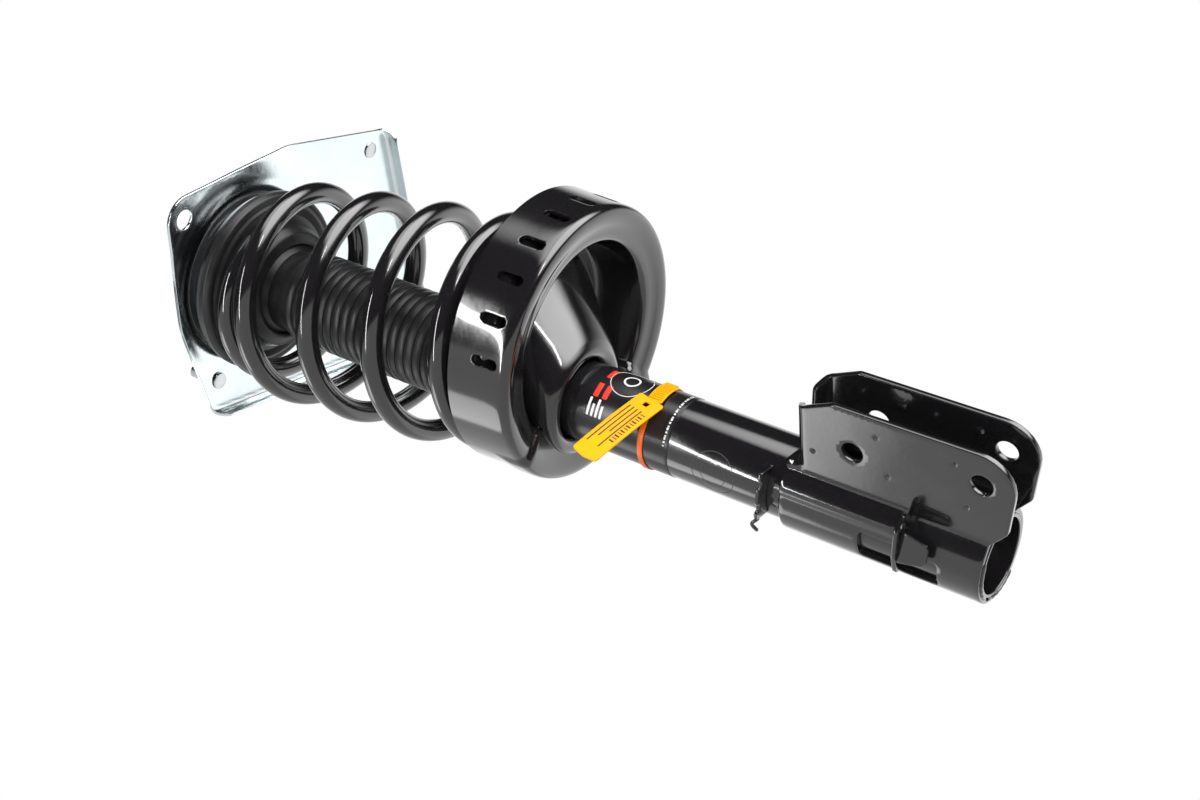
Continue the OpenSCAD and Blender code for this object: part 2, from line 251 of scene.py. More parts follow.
PAINT = gloss_paint("black_gloss_paint")
COIL_PAINT = gloss_paint("black_coil_paint", 0.00003)
ZINC = zinc("bright_zinc")
HARDWARE = zinc("zinc_hardware", (0.66, 0.68, 0.7))
CHROME = steel("hard_chrome", (0.75, 0.75, 0.77), 0.08)
BARE = steel("turned_steel")
SINTER = steel("sintered_iron", (0.22, 0.22, 0.23), 0.5, (1, 1, 1))
RUBBER = rubber("black_rubber")
FOAM = foam("foam")
RACE = plastic("black_plastic", (0.03, 0.03, 0.033))
CAGE = plastic("natural_plastic", (0.55, 0.46, 0.3))
RING = plastic("ring_plastic", (0.05, 0.2, 0.2))
YELLOW = plastic("yellow_plastic", (0.95, 0.4, 0.0), 0.4, 0.2)
BLACK_INK = plastic("black_ink", (0.02, 0.02, 0.02), 0.4)
ETCH = plastic("etched_ring", (0.045, 0.043, 0.045), 0.55)
ORANGE = plastic("orange_plastic", (0.72, 0.12, 0.003), 0.3)
FILM = plastic("label_film", (0.012, 0.011, 0.013), 0.22)
WHITE_INK = plastic("white_ink", (0.75, 0.75, 0.75), 0.4)
RED_INK = plastic("red_ink", (0.75, 0.04, 0.02), 0.4)


# ---- mesh helpers, all in millimetres

def new_object(name, data):
    obj = bpy.data.objects.new(name, data)
    bpy.context.scene.collection.objects.link(obj)
    return obj


def piece(name, shape, material, body, replaced=(), sharp=35):
    """Piece from a pair of vertices and faces. Edges that turn by over sharp degrees stay crisp."""
    verts, faces = shape
    mesh = bpy.data.meshes.new(name)
    mesh.from_pydata([tuple(float(c) * MM for c in v) for v in verts], [], faces)
    mesh.validate()
    mesh.materials.append(material)
    for polygon in mesh.polygons:
        polygon.use_smooth = True
    mesh.set_sharp_from_angle(angle=radians(sharp))
    obj = new_object(name, mesh)
    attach(obj, body)
    if replaced:
        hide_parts(*replaced)
    return obj


def fillet(corners, steps=6, closed=True):
    """Corners [x, y, radius] to a list of points, with each corner rounded."""
    points, n = [], len(corners)
    for i, corner in enumerate(corners):
        b = np.array(corner[:2], float)
        r = corner[2] if len(corner) > 2 else 0
        if r == 0 or (not closed and i in (0, n - 1)):
            points.append(b)
            continue
        a, c = (np.array(corners[(i + k) % n][:2], float) for k in (-1, 1))
        u, w = (a - b) / np.linalg.norm(a - b), (c - b) / np.linalg.norm(c - b)
        half = acos(max(-1, min(1, float(u @ w)))) / 2
        nearly_straight = half > pi / 2 - 0.01
        if nearly_straight:
            points.append(b)
            continue
        centre = b + (u + w) / np.linalg.norm(u + w) * r / sin(half)
        start, end = b + u * r / tan(half) - centre, b + w * r / tan(half) - centre
        a0 = atan2(start[1], start[0])
        turn = (atan2(end[1], end[0]) - a0 + pi) % (2 * pi) - pi
        for k in range(steps + 1):
            t = a0 + turn * k / steps
            points.append(centre + r * np.array([cos(t), sin(t)]))
    return points


def grid_faces(rows, columns, wrap_rows=False, wrap_columns=True):
    """Faces between the points of a grid, which closes on itself where it wraps."""
    faces = []
    for i in range(rows if wrap_rows else rows - 1):
        low, high = i * columns, (i + 1) % rows * columns
        for j in range(columns if wrap_columns else columns - 1):
            k = (j + 1) % columns
            faces.append((low + j, low + k, high + k, high + j))
    return faces


def revolve(profile, segments=128, centre=(0, 0), closed=True):
    """Profile of [radius, z] turned round a vertical axis. A closed profile makes a solid ring."""
    verts = []
    for r, z in profile:
        for k in range(segments):
            t = 2 * pi * k / segments
            verts.append((centre[0] + r * cos(t), centre[1] + r * sin(t), z))
    return verts, grid_faces(len(profile), segments, wrap_rows=closed)


def sweep(path, radius, sides=24):
    """Round bar along a path, with flat ends and broken edges."""
    edge_length, edge_share, centre_r = 1.2, 0.86, 0.01
    path = np.array(path, float)
    tangents = np.gradient(path, axis=0)
    tangents /= np.linalg.norm(tangents, axis=1)[:, None]
    lead, tail = tangents[0] * edge_length, tangents[-1] * edge_length
    rings = [(path[0], centre_r, 0), (path[0], edge_share * radius, 0), (path[0] + lead, radius, 0)]
    rings += [(p, radius, i) for i, p in enumerate(path) if 0 < i < len(path) - 1]
    rings += [(path[-1] - tail, radius, -1), (path[-1], edge_share * radius, -1), (path[-1], centre_r, -1)]
    verts = []
    side = np.array([0, 0, 1.0])
    for centre, r, index in rings:
        d = tangents[index]
        u = np.cross(d, side)
        if np.linalg.norm(u) < 1e-3:
            u = np.cross(d, [1.0, 0, 0])
        u /= np.linalg.norm(u)
        v = np.cross(d, u)
        for k in range(sides):
            t = 2 * pi * k / sides
            verts.append(centre + r * (cos(t) * u + sin(t) * v))
    faces = grid_faces(len(rings), sides)
    last = (len(rings) - 1) * sides
    faces += [tuple(range(sides))[::-1], tuple(range(last, last + sides))]
    return verts, faces


def inside(points, loop):
    """Which points lie inside a closed loop."""
    x, y = points[:, 0], points[:, 1]
    hit = np.zeros(len(points), bool)
    for (x1, y1), (x2, y2) in zip(loop, np.roll(loop, -1, axis=0)):
        if y1 != y2:
            hit ^= ((y1 > y) != (y2 > y)) & (x < (x2 - x1) * (y - y1) / (y2 - y1) + x1)
    return hit


def gap_to(points, loop):
    """Distance from each point to a closed loop, with the nearest point on it."""
    best = np.full(len(points), 1e9)
    near = np.zeros_like(points)
    for a, b in zip(loop, np.roll(loop, -1, axis=0)):
        d = b - a
        t = np.clip(((points - a) @ d) / max(d @ d, 1e-12), 0, 1)
        q = a + t[:, None] * d
        dist = np.linalg.norm(points - q, axis=1)
        better = dist < best
        best[better], near[better] = dist[better], q[better]
    return best, near


def shifted(loop, d):
    """Loop moved by d towards its left side."""
    along = np.roll(loop, -1, axis=0) - np.roll(loop, 1, axis=0)
    along /= np.linalg.norm(along, axis=1)[:, None]
    return loop + d * np.column_stack([-along[:, 1], along[:, 0]])


def divided(loop, step):
    """Closed loop with points added so that no two are further apart than step."""
    loop = [np.array(p, float) for p in loop]
    points = []
    for a, b in zip(loop, loop[1:] + loop[:1]):
        n = max(1, ceil(np.linalg.norm(b - a) / step))
        points += [a + (b - a) * k / n for k in range(n)]
    keep = [p for i, p in enumerate(points) if np.linalg.norm(p - points[i - 1]) > 0.02]
    return np.array(keep)


def round_hole(x, y, r, n=40):
    """Clockwise circle, as a hole's outline."""
    turns = [-2 * pi * k / n for k in range(n)]
    return np.array([(x + r * cos(t), y + r * sin(t)) for t in turns])


def rectangle(x0, x1, y0, y1, r=0):
    """Corners [x, y, radius] of a rectangle, for fillet."""
    return [(x0, y0, r), (x1, y0, r), (x1, y1, r), (x0, y1, r)]


def joined(parts):
    """One mesh from several pairs of vertices and faces."""
    verts, faces = [], []
    for v, f in parts:
        start = len(verts)
        verts += list(v)
        faces += [tuple(i + start for i in q) for q in f]
    return verts, faces


def pressed_sheet(outline, holes, surface, thick, edge=0.7, grid=3.0, extra=()):
    """Sheet of even thickness with rounded edges. outline runs anticlockwise and holes clockwise, both in
    the flat sheet's (u, v); surface turns (u, v) rows into (x, y, z) rows of the sheet's middle. The faces
    follow a grid of near-equal triangles, in which extra points take the place of those close to them."""
    row_share, extra_gap, rim_share = 0.866, 1.0, 0.55
    loops = [divided(outline, grid)] + [np.array(hole) for hole in holes]
    inner = [shifted(loop, edge) for loop in loops]
    low, high = loops[0].min(axis=0), loops[0].max(axis=0)
    rows = np.arange(low[1], high[1], grid * row_share)
    spots = np.array([(x, y) for j, y in enumerate(rows)
                      for x in np.arange(low[0] + (j % 2) * grid / 2, high[0], grid)])
    if len(extra):
        extra = np.array(extra)
        crowded = np.array([np.min(np.hypot(*(extra - p).T)) < extra_gap for p in spots])
        spots = np.vstack([spots[~crowded], extra])
    keep = inside(spots, inner[0])
    for k, loop in enumerate(inner):
        keep &= gap_to(spots, loop)[0] > grid * rim_share
        if k:
            keep &= ~inside(spots, loop)
    spots = spots[keep]
    flat, edges, starts = [], [], []
    for loop in inner:
        start = len(flat)
        starts.append(start)
        flat += list(loop)
        edges += [(start + i, start + (i + 1) % len(loop)) for i in range(len(loop))]
    flat += list(spots)
    out = geometry.delaunay_2d_cdt([Vector(p) for p in flat], edges, [], 0, 1e-6)
    points, triangles, origins = np.array([tuple(v) for v in out[0]]), out[2], out[3]
    middles = np.array([points[list(t)].mean(axis=0) for t in triangles])
    keep = inside(middles, inner[0])
    for loop in inner[1:]:
        keep &= ~inside(middles, loop)
    triangles = [t for t, k in zip(triangles, keep) if k]
    where = {o: i for i, group in enumerate(origins) for o in group}

    def placed(uv, w):
        """Points at w from the sheet's middle, along its normal."""
        step = 0.05
        mid = surface(uv)
        du = surface(uv + [step, 0]) - surface(uv - [step, 0])
        dv = surface(uv + [0, step]) - surface(uv - [0, step])
        n = np.cross(du, dv)
        n /= np.linalg.norm(n, axis=1)[:, None]
        return mid + w * n

    count = len(points)
    verts = list(placed(points, thick / 2)) + list(placed(points, -thick / 2))
    faces = [tuple(t) for t in triangles] + [tuple(i + count for i in t[::-1]) for t in triangles]
    turns = [radians(a) for a in (30, 60, 90)]
    stations = [(edge * (1 - sin(a)), thick / 2 - edge * (1 - cos(a))) for a in turns]
    stations += [(d, -w) for d, w in stations[::-1]]
    for loop, start in zip(loops, starts):
        n = len(loop)
        rim = [[where[start + i] for i in range(n)]]
        for d, w in stations:
            base = len(verts)
            verts += list(placed(shifted(loop, d), w))
            rim.append(list(range(base, base + n)))
        rim.append([where[start + i] + count for i in range(n)])
        for a, b in zip(rim, rim[1:]):
            faces += [(a[i], b[i], b[(i + 1) % n], a[(i + 1) % n]) for i in range(n)]
    return verts, faces


def smoothstep(x, a, b):
    t = np.clip((x - a) / (b - a), 0, 1)
    return t * t * (3 - 2 * t)


# ---- top mount

PLATE_T = 2.5
FOLD_R = 4.0
FLANGE = 12.0
# Each corner's x, y and radius
PLATE_CORNERS = [(101, -62, 20), (79, 65, 60), (34, 171, 14), (-176, 171, 16), (-88, -72, 16), (-4, -78, 60)]


def crossing(a, b, c, d):
    """Point where line a-b meets line c-d."""
    r, s = b - a, d - c
    t = ((c - a)[0] * s[1] - (c - a)[1] * s[0]) / (r[0] * s[1] - r[1] * s[0])
    return a + t * r


def plate_outline(shift):
    """The plate's outline with its two folded sides moved outwards by shift."""
    p = [np.array(c[:2], float) for c in PLATE_CORNERS]

    def moved(a, b):
        along = (b - a) / np.linalg.norm(b - a)
        off = np.array([along[1], -along[0]]) * shift
        return a + off, b + off

    side, back = moved(p[2], p[3]), moved(p[3], p[4])
    corners = [PLATE_CORNERS[0], PLATE_CORNERS[1], (*crossing(p[1], p[2], *side), PLATE_CORNERS[2][2]),
               (*crossing(*side, *back), max(4, PLATE_CORNERS[3][2] + shift)),
               (*crossing(*back, p[4], p[5]), PLATE_CORNERS[4][2]), PLATE_CORNERS[5]]
    return fillet(corners, 10)


def plate_surface(core, dome):
    """Flat plate with a dome, in rows of (flat radius, real radius, height), and its edge folded down."""
    flat_r, real_r, real_z = np.array(dome).T

    def surface(uv):
        uv = np.array(uv, float)
        rho = np.hypot(uv[:, 0], uv[:, 1])
        domed = rho < flat_r[-1]
        r = np.where(domed, np.interp(rho, flat_r, real_r), rho)
        z = np.where(domed, np.interp(rho, flat_r, real_z), 0)
        dist, near = gap_to(uv, core)
        dist = np.where(inside(uv, core), 0, dist)
        away = (uv - near) / np.maximum(np.linalg.norm(uv - near, axis=1), 1e-6)[:, None]
        turn = np.minimum(dist / FOLD_R, pi / 2)
        out = FOLD_R * np.sin(turn)
        down = FOLD_R * (1 - np.cos(turn)) + np.maximum(dist - FOLD_R * pi / 2, 0)
        level = uv * (r / np.maximum(rho, 1e-6))[:, None]
        flat = np.where((dist > 0)[:, None], near + away * out[:, None], level)
        return np.column_stack([flat, z - down - PLATE_T / 2])

    return surface


def dome_rows():
    """Middle line of the dome and its collar, from the collar's rim outwards, with its flat radii."""
    rim = cad_box("rubber_cup")[1][2]
    section = [(34.7, rim), (34.7, 9.8, 3.5), (53, 9.8, 8), (67, 1.4, 9), (74, 2.2, 8), (92, 0, 40), (104, 0)]
    line = np.array(fillet(section, 8, closed=False))
    lengths = np.r_[0, np.cumsum(np.linalg.norm(np.diff(line, axis=0), axis=1))]
    flat = line[-1][0] - lengths[-1] + lengths
    return [(f, p[0], p[1]) for f, p in zip(flat, line)]


def make_top_plate():
    """Plated sheet with its raised middle, folded edges and holes."""
    dome = dome_rows()
    core_shift = -(FOLD_R + PLATE_T / 2)
    core = np.array(plate_outline(core_shift))
    grown = plate_outline(core_shift + FOLD_R * pi / 2 + FLANGE - FOLD_R - PLATE_T / 2)
    hole, dims = mount("top_bolt_hole")
    holes = [round_hole(0, 0, dome[0][0] + 0.3, 96), round_hole(hole[0], hole[1], dims["r_mm"])]
    for name in ("tower_stud_a", "tower_stud_b"):
        place, dims = mount(name)
        holes.append(round_hole(place[0], place[1], dims["r_mm"], 32))
    sheet = pressed_sheet(grown, holes, plate_surface(core, dome), PLATE_T, 0.6, 3.0)
    piece("top_plate", sheet, ZINC, "top_mount", ("mount_plate", "rubber_cup"), sharp=50)


def make_rubber_cup():
    """Rubber-faced rim inside the collar of the top plate's raised middle."""
    top = cad_box("rubber_cup")[1][2]
    line = fillet([(25, 12), (35.2, 12), (35.2, top - 1, 1), (33.4, top, 0.8), (31, top - 1.5, 1),
                   (29.5, top - 9, 2), (25, top - 10)], 4)
    piece("cup_ring", revolve(line, 120), RUBBER, "top_mount", sharp=40)


def threads(radius, z0, z1, pitch):
    """Outline of a threaded rod from z0 up to z1."""
    line = [(0.01, z0), (radius - 0.6, z0)]
    z = z0 + 0.6
    while z < z1 - pitch:
        line += [(radius - 0.55, z), (radius, z + pitch * 0.45), (radius, z + pitch * 0.55)]
        z += pitch
    return line + [(radius - 0.8, z1 - 0.6), (radius - 1.4, z1), (0.01, z1)]


def make_studs():
    """Threaded studs pressed through the plate, with flat heads on its underside."""
    top, under, pitch = cad_box("tower_studs")[1][2], -PLATE_T, 1.25
    head = [(0.01, under - 1.0), (5.6, under - 1.0), (6.3, under - 0.7), (6.5, under - 0.1),
            (0.01, under - 0.1)]
    parts = []
    for name in ("tower_stud_a", "tower_stud_b"):
        place, dims = mount(name)
        rod = threads(dims["r_mm"], under - 0.2, top, pitch)
        parts += [revolve(profile, 40, place[:2], closed=False) for profile in (rod, head)]
    piece("studs", joined(parts), HARDWARE, "top_mount", ("tower_studs",))


def make_isolator():
    """Upper rubber ring, with a lip outside, a groove for the top coil and a sleeve round the boot."""
    r = cad_box("upper_isolator")[1][0]
    line = fillet([(30, -12.4), (r - 2, -12.4, 1), (r - 0.3, -14, 1), (r, -18, 2), (r - 1.5, -21.5, 2),
                   (66, -22.6, 1), (63, -22.3, 1.5), (60.5, -24.4, 2), (54, -24.4, 3), (49.2, -28, 3),
                   (47, -36, 3), (44, -42, 2), (36, -45.8, 2), (34.6, -40, 2), (34.2, -30, 3),
                   (30.2, -26, 2)], 5)
    piece("isolator_ring", revolve(line, 144), RUBBER, "upper_seat", ("upper_isolator",), sharp=40)


# ---- spring and boot

WIRE_R = 8.0
FIRST_COIL_Z = -64.5
PITCH = 57.0
FIRST_R = 75.5
FIRST_ANGLE = -36.0
TOP_Z = cad_box("coil_spring")[1][2] - WIRE_R


def coil_point(t):
    """Middle of the wire at turn t, counted down from the first full coil."""
    # The first coil's middle, and how far the middle moves with each turn
    first, drift = np.array([6.2, -2.1]), np.array([3.9, 5.1])
    flatter_top = (FIRST_COIL_Z + PITCH - TOP_Z) * min(t, 0) ** 2
    flatter_end = 15.2 * max(t - 2.9, 0) ** 2
    height = FIRST_COIL_Z - PITCH * t - flatter_top + flatter_end
    radius = min(84, FIRST_R + 1.6 * t - 18 * min(t, 0) ** 2 + 2.4 * max(t - 3, 0))
    share = min(1, max(0, (t - 3) / 0.5))
    centre = first * (1 + t) if t < 0 else (1 - share) * (first + drift * min(t, 3)) + share * PAN
    angle = radians(FIRST_ANGLE - 360 * t)
    return (centre[0] + radius * cos(angle), centre[1] + radius * sin(angle), height)


def squeezed(obj):
    """Gives a soft piece its own copy of its mesh."""
    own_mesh(obj)


def make_spring():
    """Coil spring, from its small top turn down to the end that rests in the pan."""
    first, last, per_turn = -1.05, 4.4, 80
    steps = round((last - first) * per_turn)
    path = np.array([coil_point(first + (last - first) * i / steps) for i in range(steps + 1)])
    obj = piece("spring", sweep(path, WIRE_R, 32), COIL_PAINT, "upper_seat", ("coil_spring",))
    squeezed(obj)


def make_boot():
    """Rubber bellows: a plain neck, then closely packed folds down to a plain end."""
    low, high = cad_box("dust_boot")
    outer, depth, wall, end = high[0], 1.9, 1.6, 12
    top, bottom = high[2], low[2]
    fold_top, step = top - 27, 7.6
    line = [(outer - 1.2, top), (outer - 0.4, top - 1.2), (outer - 0.6, top - 4), (30.6, top - 8),
            (30.2, top - 14), (30.8, top - 19), (32.6, top - 23)]
    z = fold_top
    for _ in range(int((fold_top - bottom - end) / step)):
        line += [(outer - depth, z), (outer - 0.4, z - 0.5), (outer, z - 1.6), (outer + 0.1, z - step / 2),
                 (outer - 0.1, z - step + 1.6), (outer - 0.5, z - step + 0.5)]
        z -= step
    line += [(outer - depth, z), (outer - depth - 0.4, z - 3), (outer - depth, bottom + 3),
             (outer - depth - 0.6, bottom)]
    inner = [(r - wall, height) for r, height in line[::-1]]
    obj = piece("boot", revolve(line + inner, 144), RUBBER, "upper_seat", ("dust_boot",), sharp=30)
    squeezed(obj)


def make_bump_stop():
    """Foam stop on the rod, waisted so that it yields before it bottoms."""
    low, high = cad_box("bump_stop")
    top, bottom, rod = high[2], low[2], 12.0
    waists = [(-22, 20.5), (-27, 20.5), (-32, 22.6), (-38, 18.4), (-43, 18.4), (-48, 20),
              (-55, 16), (-62, 15)]
    sides = [(23, top), (24, top - 1.5), (24, top - 16)] + [(r, top + z) for z, r in waists]
    line = fillet([(rod, top, 2)] + [(r, z, 1.5) for r, z in sides] + [(rod, bottom, 1)], 4)
    obj = piece("foam_stop", revolve(line, 96), FOAM, "top_mount", ("bump_stop",), sharp=40)
    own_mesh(obj)


# ---- lower spring seat

def rounded_rings(stations, passes=3):
    """Corner-cuts rows of (radius, height, share of the pan's centre) into a smooth line."""
    line = [np.array(s, float) for s in stations]
    for _ in range(passes):
        cut = [line[0]]
        for a, b in zip(line, line[1:]):
            cut += [a * 0.75 + b * 0.25, a * 0.25 + b * 0.75]
        line = cut + [line[-1]]
    return np.array(line)


def seat_stations():
    """The seat's section from its rim to its collar: rows of radius, height and share of the pan's centre."""
    corner, ridge = FLOOR_Z - 5.5, FLOOR_Z - 0.8
    return [(PAN_R - 1.5, RIM_Z, 1), (PAN_R - 2.2, RIM_Z - 18, 1), (PAN_R - 2.8, corner + 8, 1),
            (PAN_R - 3.3, corner + 3, 1), (PAN_R - 5.5, corner + 0.4, 1), (PAN_R - 11, corner + 0.6, 1),
            (81, ridge - 1.6, 1), (75.5, ridge - 0.9, 1), (72.4, ridge + 0.3, 1), (71.0, ridge + 5, 1),
            (70.4, ridge + 14, 1), (69.4, CREST_Z - 12, 1), (68.2, CREST_Z - 5, 1), (65, CREST_Z - 1.7, 1),
            (61, CREST_Z - 1.5, 1), (58, CREST_Z - 4, 0.95), (48, CREST_Z - 28, 0.47),
            (41, COLLAR_Z + 5, 0.07), (38.5, COLLAR_Z + 1.2, 0), (35.5, COLLAR_Z - 0.6, 0),
            (32, COLLAR_Z + 0.4, 0), (29, COLLAR_Z + 5, 0), (28.9, COLLAR_Z + 18, 0)]


LIP_START, LIP_END = 138.0, 246.0


def lip_share(degrees):
    """How far the seat's deeper lip has grown at each angle: it starts and ends in a short step."""
    a = np.mod(degrees, 360)
    return smoothstep(a, LIP_START, LIP_START + 5) * (1 - smoothstep(a, LIP_END - 4, LIP_END))


# The angles of the slots round the pan's wall, in degrees
SLOTS = [-66 + 17 * i for i in range(10)]


def make_seat():
    """Deep pan, off centre from the tube, with slots in its wall and a deeper lip on one side."""
    thick, around = 3.0, 360
    rings = rounded_rings(seat_stations())
    angles = np.arange(around) * 2 * pi / around
    spin = np.column_stack([np.cos(angles), np.sin(angles)])
    lip = lip_share(np.degrees(angles))
    rows = []
    for r, z, share in rings:
        floor = smoothstep(r, 66, 74) * (1 - smoothstep(z, FLOOR_Z + 8, FLOOR_Z + 20))
        wide = r + 1.5 * lip * floor * smoothstep(r, 82, 92) - 3.0 * lip * floor * (1 - smoothstep(r, 74, 84))
        rows.append(np.column_stack([PAN * share + spin * wide[:, None], z - 3.5 * lip * floor]))
    grid = np.array(rows)
    du = np.roll(grid, -1, axis=1) - np.roll(grid, 1, axis=1)
    dv = np.gradient(grid, axis=0)
    n = np.cross(du, dv)
    n /= np.linalg.norm(n, axis=2)[:, :, None]
    skins = [grid + n * thick / 2, grid - n * thick / 2]
    verts = list(skins[0].reshape(-1, 3)) + list(skins[1][::-1].reshape(-1, 3))
    shape = (verts, grid_faces(2 * len(rings), around, wrap_rows=True))
    cut_slots(piece("spring_seat", shape, PAINT, "strut_body", ("lower_spring_seat",), 50))


def cut_slots(obj):
    """Cuts the slots, breaks their edges and keeps the result as the piece's mesh."""
    cutter = slot_cutter()
    cut = obj.modifiers.new("slots", "BOOLEAN")
    cut.operation, cut.object, cut.solver = "DIFFERENCE", cutter, "EXACT"
    bevel = obj.modifiers.new("edges", "BEVEL")
    bevel.width, bevel.segments, bevel.limit_method = 0.5 * MM, 2, "ANGLE"
    bevel.angle_limit = radians(50)
    bpy.context.view_layer.update()
    depsgraph = bpy.context.evaluated_depsgraph_get()
    mesh = bpy.data.meshes.new_from_object(obj.evaluated_get(depsgraph))
    obj.modifiers.clear()
    obj.data = mesh
    bpy.data.objects.remove(cutter)


def slot_cutter():
    """Round-ended bars that cut the slots through the pan's wall."""
    half, length, arc_steps, reach = 3.6, 20.0, 12, (84, 110)
    bars = []
    for a in SLOTS:
        out = np.array([cos(radians(a)), sin(radians(a)), 0])
        side = np.array([-out[1], out[0], 0])
        base = np.array([PAN[0], PAN[1], FLOOR_Z + 2.5])
        loop = []
        for first, middle in ((0, length - half), (pi, half)):
            for k in range(arc_steps + 1):
                t = first + pi * k / arc_steps
                loop.append(side * half * cos(t) + np.array([0, 0, middle + half * sin(t)]))
        n = len(loop)
        ends = [tuple(range(n))[::-1], tuple(range(n, 2 * n))]
        bars.append(([base + out * r + p for r in reach for p in loop], grid_faces(2, n) + ends))
    verts, faces = joined(bars)
    mesh = bpy.data.meshes.new("slot_cutter")
    mesh.from_pydata([tuple(v * MM) for v in verts], [], faces)
    return new_object("slot_cutter", mesh)


# ---- tube and knuckle bracket

def make_tube():
    """Damper tube, with its rim rolled in at the top and its skirt open at the bottom."""
    top, bottom = tube_high[2], tube_low[2]
    inner = TUBE_R - 2.5
    line = fillet([(TUBE_R, bottom, 0.8), (TUBE_R, top, 2.5), (inner - 4, top, 0.8),
                   (inner - 4, top - 2.5, 0.5), (inner, top - 2.5, 1.5), (inner, bottom, 0.8)], 6)
    piece("damper_tube", revolve(line, 144), PAINT, "strut_body", ("outer_tube",), sharp=30)


SHEET_T = 4.0
WRAP_MID = TUBE_R + SHEET_T / 2
# The ears' middles lie this far either side of the tube's axis
EAR_MID = 17.0
# Their flat part starts this far from the axis, and bends inwards this far above the lower bolt
EAR_ROOT = 30.0
EAR_TOP = 118.0
BEND_R = 4
BEND_ANGLE = radians(62)
# The pressed dimples: distance from the tube's axis, and height above the lower bolt
DIMPLES = [(49, 112), (78, 69), (50, 61), (79, 18), (49, 9)]


def bracket_paths():
    """Middle lines of the bracket's section, from the near ear's root round the tube to the far ear's, each
    with its length at every point: the section that holds the pressed bead, and the plain one below it."""
    def back(first):
        """The wrap, from an angle round to the far ear's root."""
        wrap = [(WRAP_MID * cos(radians(a)), WRAP_MID * sin(radians(a))) for a in np.arange(first, -318, -6)]
        return wrap + [(25.2, EAR_MID - 0.6), (27.5, EAR_MID), (EAR_ROOT, EAR_MID)]

    bead = [(EAR_ROOT, -EAR_MID), (27.5, -EAR_MID), (25.6, -17.8), (24.0, -20.6), (22.8, -24.2),
            (19.8, -27.6), (15.8, -28.7), (12.4, -27.4)]
    plain = [(EAR_ROOT, -EAR_MID), (27.5, -EAR_MID), (25.2, -EAR_MID - 0.6)]
    out = []
    for line in (bead + back(-72), plain + back(-44)):
        line = rounded_rings([(*p, 0) for p in line], 2)[:, :2]
        lengths = np.r_[0, np.cumsum(np.linalg.norm(np.diff(line, axis=0), axis=1))]
        out.append((line, lengths))
    return out


def make_bracket():
    """Sheet wrapped round the tube, with two ears for the knuckle's bolts."""
    (bead, bead_len), (plain, plain_len) = bracket_paths()
    span = bead_len[-1]
    low = LOW_BOLT[2]

    def along(line, lengths, share):
        s = share * lengths[-1]
        return np.column_stack([np.interp(s, lengths, line[:, 0]), np.interp(s, lengths, line[:, 1])])

    def surface(uv):
        u, z = uv[:, 0], uv[:, 1].copy()
        share = np.clip(u / span, 0, 1)
        fade = smoothstep(z, 44, 52)[:, None]
        xy = along(bead, bead_len, share) * fade + along(plain, plain_len, share) * (1 - fade)
        xy[:, 0] += np.maximum(-u, 0) + np.maximum(u - span, 0)
        # The ears' upper ends are folded in towards each other
        fold = np.maximum(z - EAR_TOP, 0) * smoothstep(xy[:, 0], 29, 35)
        turn = np.minimum(fold / BEND_R, BEND_ANGLE)
        rest = np.maximum(fold - BEND_R * BEND_ANGLE, 0)
        inwards = BEND_R * (1 - np.cos(turn)) + rest * np.sin(turn)
        rise = BEND_R * np.sin(turn) + rest * np.cos(turn)
        y = xy[:, 1] - np.sign(xy[:, 1]) * (inwards + dimple_depth(xy[:, 0], z))
        return np.column_stack([xy[:, 0], y, low + z - fold + rise])

    def unrolled(x, far):
        """Place along the flat sheet of a point of the near or far ear at x from the tube's axis."""
        return span + x - EAR_ROOT if far else EAR_ROOT - x

    def ear(far, points):
        return [(unrolled(x, far), z, r) for x, z, r in points]

    bottom = [(38, -18, 6), (93, -24, 24)]
    top = [(91, 99, 8), (75, 131, 6), (34, 134, 4)]
    outline = ear(False, bottom[::-1]) + [(6, -7, 5), (span - 6, -7, 5)] + ear(True, bottom) + ear(True, top)
    outline += [(span - 4, 131, 3), (4, 131, 3)] + ear(False, top[::-1])
    holes = [round_hole(unrolled(bolt[0], far), bolt[2] - low, BOLT_R)
             for bolt in (LOW_BOLT, HIGH_BOLT) for far in (False, True)]
    holes.append(window_loop(bead, bead_len)[::-1])
    dimples = [(unrolled(x, far) + dx, z + dz) for far in (False, True)
               for x, z in DIMPLES for dx, dz in dimple_grid()]
    sheet = pressed_sheet(fillet(outline, 8), holes, surface, SHEET_T, 0.8, 2.6, dimples)
    piece("bracket", sheet, PAINT, "strut_body", ("knuckle_bracket",), sharp=50)


def dimple_grid():
    """Points on rings round a dimple's middle, so that its shape has faces of its own."""
    turns = np.linspace(0, 2 * pi, 12, False)
    return [(r * cos(t), r * sin(t)) for r in (0.9, 1.5, 2.1, 2.6) for t in turns]


def dimple_depth(x, z):
    """Depth of the small pressed dimples on the ears, at a distance x from the tube's axis."""
    depth = np.zeros(len(x))
    for cx, cz in DIMPLES:
        depth += 1.9 * (1 - smoothstep(np.hypot(x - cx, z - cz), 0.8, 2.1))
    return depth


def window_loop(line, lengths):
    """Outline of the window in the wrap, in the flat sheet's (u, z)."""
    angles = np.degrees(np.arctan2(line[:, 1], line[:, 0]))
    turn = np.where(angles > 0, angles - 360, angles)
    wrap = slice(8, -8)
    start, end = (np.interp(-a, -turn[wrap], lengths[wrap]) for a in (-76, -116))
    return divided(fillet([(start, 21, 3), (end, 21, 3), (end, 75, 3), (start, 75, 3)], 5), 3)


# ---- small pieces on the tube and bracket

INK_T = 0.1
INK_EDGE = 0.04


def bent_round(radius):
    """Surface of a flat sheet that is bent round the tube."""
    def surface(uv):
        t = uv[:, 0] / radius
        return np.column_stack([radius * np.cos(t), radius * np.sin(t), uv[:, 1]])

    return surface


